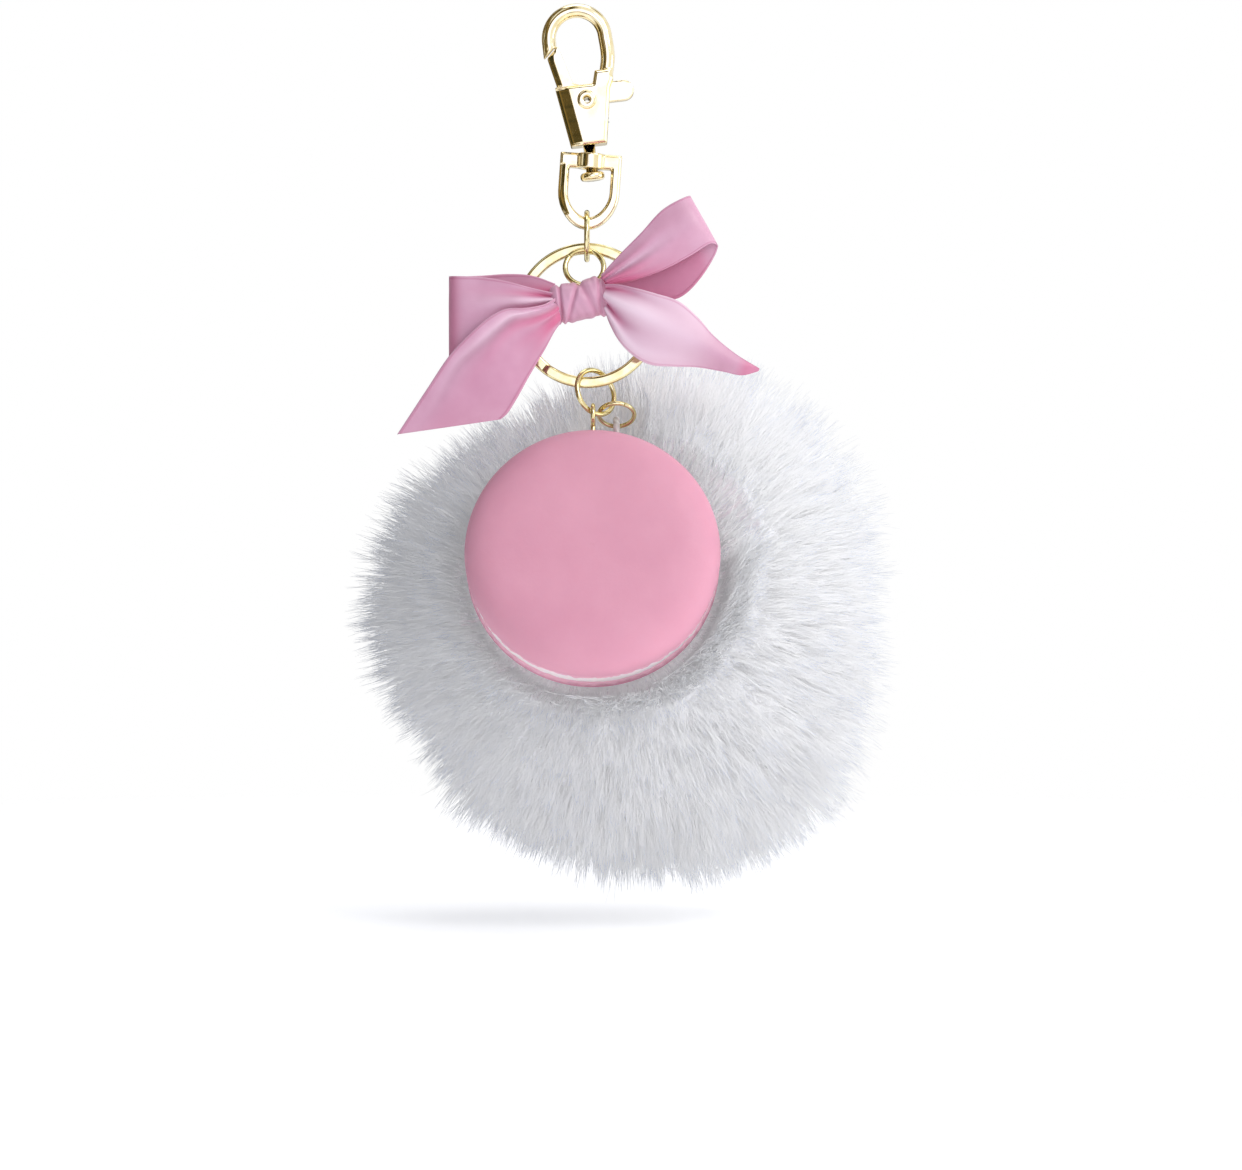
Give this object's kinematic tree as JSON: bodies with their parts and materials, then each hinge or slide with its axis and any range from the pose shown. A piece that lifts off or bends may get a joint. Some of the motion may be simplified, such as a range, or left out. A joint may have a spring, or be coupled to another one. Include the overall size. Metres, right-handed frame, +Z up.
{
  "type": "plush keychain",
  "caption": "Faux-fur pompom keychain with swivel trigger clasp, split key ring, satin bow and round macaron charm.",
  "frame": {"origin": "highest point of the inside of the clasp's hook, where the keychain hangs", "axes": "+Z up along the hanging chain, +X to the viewer's right, -Y to the front, where the macaron faces"},
  "size_m": [0.084, 0.0722, 0.1499],
  "materials": {
    "gold_plate": "polished",
    "spring_steel": "satin",
    "pink_satin": "satin weave",
    "macaron_shell": "smooth matte",
    "macaron_cream": "matte",
    "white_fur": "long pile",
    "white_knit": "knit",
    "white_plastic": "gloss"
  },
  "bodies": {
    "clasp": {"clasp_body": "gold_plate", "trigger_rivet": "gold_plate", "trigger_spring": "spring_steel", "swivel_pin": "gold_plate"},
    "trigger": {"trigger_lever": "gold_plate"},
    "bail": {"swivel_bail": "gold_plate"},
    "link": {"link_ring": "gold_plate"},
    "keys": {"key_ring": "gold_plate"},
    "bow": {"bow_ring": "gold_plate", "ribbon_knot": "pink_satin", "ribbon_loop_left": "pink_satin", "ribbon_loop_right": "pink_satin", "ribbon_tail_left": "pink_satin", "ribbon_tail_right": "pink_satin"},
    "charm_link": {"charm_ring": "gold_plate"},
    "macaron": {"macaron_front_shell": "macaron_shell", "macaron_filling": "macaron_cream", "macaron_back_shell": "macaron_shell", "macaron_screw_eye": "gold_plate"},
    "ball_link": {"ball_ring": "gold_plate"},
    "ball": {"elastic_loop": "white_knit", "anchor_button": "white_plastic", "gathering_thread": "white_knit", "fur_backing": "white_knit", "stuffing": "white_knit", "fur_pile": "white_fur"}
  },
  "joints": [
    {"name": "trigger_pivot", "type": "hinge", "parent": "clasp", "child": "trigger", "pos_m": [0.00173, 0, -0.01442], "axis": [0, 1, 0], "range_deg": [0, 22], "stiffness_Nm_per_rad": 0.01, "springref_deg": -11.46, "deforming": ["trigger_spring"]},
    {"name": "swivel_turn", "type": "hinge", "parent": "clasp", "child": "bail", "pos_m": [0.00241, 0, -0.02481], "axis": [0.0698, 0, 0.9976], "continuous": true},
    {"name": "link_swing", "type": "hinge", "parent": "bail", "child": "link", "pos_m": [0.00166, 0, -0.03554], "axis": [1, 0, 0], "range_deg": [-50, 50]},
    {"name": "key_ring_swing", "type": "hinge", "parent": "link", "child": "keys", "pos_m": [0.00173, 0, -0.04172], "axis": [0, 1, 0], "range_deg": [-15, 15]},
    {"name": "bow_lift", "type": "hinge", "parent": "link", "child": "bow", "pos_m": [0.00134, -0.0012, -0.04017], "axis": [-1, 0, 0], "range_deg": [0, 25]},
    {"name": "charm_ring_swing", "type": "hinge", "parent": "keys", "child": "charm_link", "pos_m": [0.00324, 0.0005, -0.06279], "axis": [1, 0, 0], "range_deg": [-12, 12]},
    {"name": "macaron_lift", "type": "hinge", "parent": "charm_link", "child": "macaron", "pos_m": [0.0028, -0.00183, -0.06818], "axis": [-1, 0, 0], "range_deg": [0, 60]},
    {"name": "ball_ring_swing", "type": "hinge", "parent": "charm_link", "child": "ball_link", "pos_m": [0.00542, 0.00047, -0.06787], "axis": [1, 0, 0], "range_deg": [0, 15]},
    {"name": "ball_swing", "type": "hinge", "parent": "ball_link", "child": "ball", "pos_m": [0.00682, 0.00357, -0.07028], "axis": [1, 0, 0], "range_deg": [0, 17]}
  ]
}
